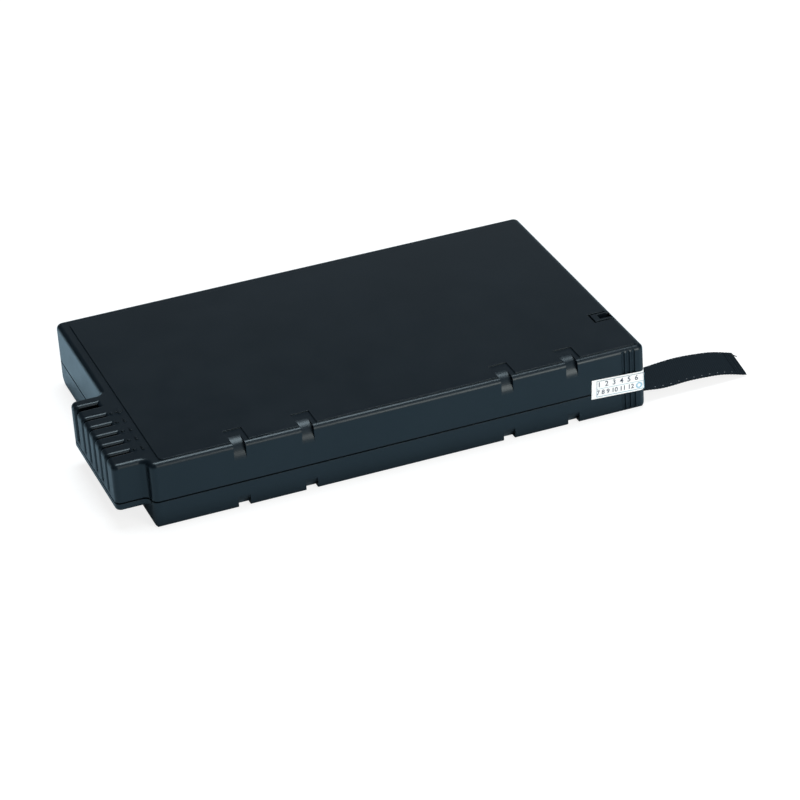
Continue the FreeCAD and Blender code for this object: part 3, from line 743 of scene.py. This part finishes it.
bpy.context.view_layer.update()
bpy.ops.object.select_all(action="DESELECT")
for copy in stitches:
    copy.select_set(True)
bpy.context.view_layer.objects.active = stitches[0]
bpy.ops.object.join()
tape_stitches = bpy.context.object
tape_stitches.name = "tape_stitches"
bpy.ops.object.transform_apply(location=True, rotation=True, scale=True)
stitch_thread, tree, shader = start_finish("stitch_thread")
twist = soft_noise(tree, object_place(tree), scale=3000.0, detail=2.0)
join(tree, two_tone(tree, twist, stitch_shade, stitch_pale), shader.inputs["Base Color"])
shader.inputs["Roughness"].default_value = 0.6
add_bump(tree, shader, twist, twist_depth)
tape_stitches.data.materials.append(stitch_thread)
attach(tape_stitches, "root")
print("stitches have", len(tape_stitches.data.polygons), "faces")

# %% [markdown]
# ## Loose threads
# The cut end of the tape is fused, but a few thread ends have come free at its corners. A short thread is
# easiest as a curve with a round section: two points with handles, made a mesh at once.

# %% Thread finish
ply_dark = (0.004, 0.006, 0.008)
ply_pale = (0.03, 0.035, 0.04)
ply_depth = 0.01 * mm

thread_finish, tree, shader = start_finish("loose_thread")
ply = soft_noise(tree, object_place(tree), scale=3500.0, detail=2.0)
join(tree, two_tone(tree, ply, ply_dark, ply_pale), shader.inputs["Base Color"])
shader.inputs["Roughness"].default_value = 0.75
add_bump(tree, shader, ply, ply_depth)
print("finish for loose threads ready")

# %% Loose threads
thread_radius = 0.14 * mm
thread_root = 0.3
handle_share = 0.3
end_middle, end_across, end_face = tape_frame(len(line) - 1)
end_run = end_across.cross(end_face)


def add_thread(name, across, length, side, rise):
    """Thread that is rooted behind the cut end, with its place, length, drift and rise in mm."""
    bpy.ops.object.select_all(action="DESELECT")
    bpy.ops.curve.primitive_bezier_curve_add()
    piece = bpy.context.object
    piece.name = name
    start = end_middle + end_across * across * mm - end_run * thread_root * mm
    end = start + (end_run * length + end_across * side + end_face * rise) * mm
    handle = end_run * length * handle_share * mm
    first, second = piece.data.splines[0].bezier_points
    for knot, place in ((first, start), (second, end)):
        knot.handle_left_type = "FREE"
        knot.handle_right_type = "FREE"
        knot.co = place
        knot.handle_left = place - handle
        knot.handle_right = place + handle
    piece.data.bevel_depth = thread_radius
    piece.data.bevel_resolution = 2
    piece.data.use_fill_caps = True
    bpy.ops.object.convert(target="MESH")
    piece = bpy.context.object
    piece.data.materials.append(thread_finish)
    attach(piece, "root")
    print(name, round(length, 1), "mm long")
    return piece


threads = [
    add_thread("thread_back", across=4.6, length=1.7, side=-0.6, rise=-0.2),
    add_thread("thread_back_low", across=4.2, length=0.7, side=-0.4, rise=-0.1),
    add_thread("thread_front", across=-4.8, length=0.6, side=-0.2, rise=-0.1),
]

print("tape was cut", round(tape_width / mm, 1), "x", round(tape_length / mm, 1), "mm")

# %% [markdown]
# ## Inside
# The cells, straps and board can't be seen in a closed case, but they are there, and each has the finish
# of the real thing. One helper makes a finish from two tones and a noise. Drawn metal, laminate and paper
# stretch their noise one way, as a real grain runs.

# %% Helpers for inner finishes
def plain_finish(name, first, second, scale, rough, depth, stretch=(1.0, 1.0, 1.0), metal=0.0):
    """Two tones, a roughness range and a bump from one noise, with the bump's depth in mm."""
    finish, tree, shader = start_finish(name)
    noise = soft_noise(tree, object_place(tree, stretch), scale, detail=3.0)
    join(tree, two_tone(tree, noise, first, second), shader.inputs["Base Color"])
    join(tree, spread(tree, noise, *rough), shader.inputs["Roughness"])
    shader.inputs["Metallic"].default_value = metal
    add_bump(tree, shader, noise, depth * mm)
    return finish


def numbered(word, count):
    """Names of nodes that are counted from 1."""
    return [f"{word}_{number}" for number in range(1, count + 1)]


print("inner helpers ready")

# %% Cells and straps
cell_sleeve = plain_finish("cell_sleeve", (0.08, 0.20, 0.37), (0.12, 0.27, 0.46),
                           scale=220.0, rough=(0.25, 0.36), depth=0.01)
dress(cell_sleeve, *numbered("cell", 9))
ring_fibre = plain_finish("ring_fibre", (0.74, 0.71, 0.62), (0.86, 0.84, 0.76),
                          scale=1800.0, rough=(0.7, 0.85), depth=0.02)
dress(ring_fibre, *numbered("end_ring", 9))
nickel = plain_finish("nickel", (0.58, 0.56, 0.52), (0.72, 0.70, 0.66),
                      scale=500.0, rough=(0.24, 0.38), depth=0.004, stretch=(0.15, 4.0, 4.0), metal=1.0)
dress(nickel, "strap_positive", "strap_first_series", "strap_second_series", "strap_middle",
      "strap_negative_left", "strap_negative_right")

# %% Board and contacts
board_laminate = plain_finish("board_laminate", (0.022, 0.13, 0.055), (0.04, 0.19, 0.085),
                              scale=900.0, rough=(0.3, 0.45), depth=0.01, stretch=(1.0, 3.0, 3.0))
dress(board_laminate, "control_board")
chip_plastic = plain_finish("chip_plastic", (0.022, 0.022, 0.022), (0.04, 0.04, 0.04),
                            scale=2500.0, rough=(0.5, 0.65), depth=0.01)
dress(chip_plastic, "gauge_chip", "guard_chip", "power_switch_1", "power_switch_2")
board_ceramic = plain_finish("board_ceramic", (0.50, 0.48, 0.43), (0.60, 0.58, 0.53),
                             scale=1500.0, rough=(0.4, 0.6), depth=0.008)
dress(board_ceramic, "sense_resistor", "board_fuse")
contact_metal = plain_finish("contact_metal", (0.70, 0.54, 0.24), (0.84, 0.68, 0.36),
                             scale=700.0, rough=(0.2, 0.34), depth=0.003, stretch=(4.0, 4.0, 0.3), metal=1.0)
dress(contact_metal, *numbered("contact", 5))
carrier_plastic = plain_finish("carrier_plastic", (0.04, 0.04, 0.04), (0.06, 0.06, 0.06),
                               scale=1200.0, rough=(0.45, 0.6), depth=0.01)
dress(carrier_plastic, "contact_carrier")

# %% Leads and fillers
series_wire = plain_finish("series_wire", (0.66, 0.49, 0.06), (0.78, 0.61, 0.11),
                           scale=700.0, rough=(0.4, 0.55), depth=0.01)
dress(series_wire, "series_lead")
tap_wire = plain_finish("tap_wire", (0.70, 0.70, 0.67), (0.80, 0.80, 0.77),
                        scale=700.0, rough=(0.4, 0.55), depth=0.01)
dress(tap_wire, "tap_lead")
black_wire = plain_finish("black_wire", (0.015, 0.015, 0.015), (0.026, 0.026, 0.026),
                          scale=700.0, rough=(0.4, 0.55), depth=0.01)
dress(black_wire, "negative_lead", "thermistor_lead")
bead_resin = plain_finish("bead_resin", (0.04, 0.04, 0.05), (0.06, 0.06, 0.07),
                          scale=900.0, rough=(0.2, 0.3), depth=0.02)
dress(bead_resin, "thermistor")
insulating_paper = plain_finish("insulating_paper", (0.37, 0.41, 0.39), (0.47, 0.51, 0.49),
                                scale=900.0, rough=(0.7, 0.85), depth=0.02, stretch=(1.0, 1.0, 5.0))
dress(insulating_paper, "insulator_sheet")
grey_foam = plain_finish("grey_foam", (0.14, 0.14, 0.15), (0.26, 0.26, 0.27),
                         scale=1400.0, rough=(0.85, 0.95), depth=0.15)
dress(grey_foam, "foam_pad")
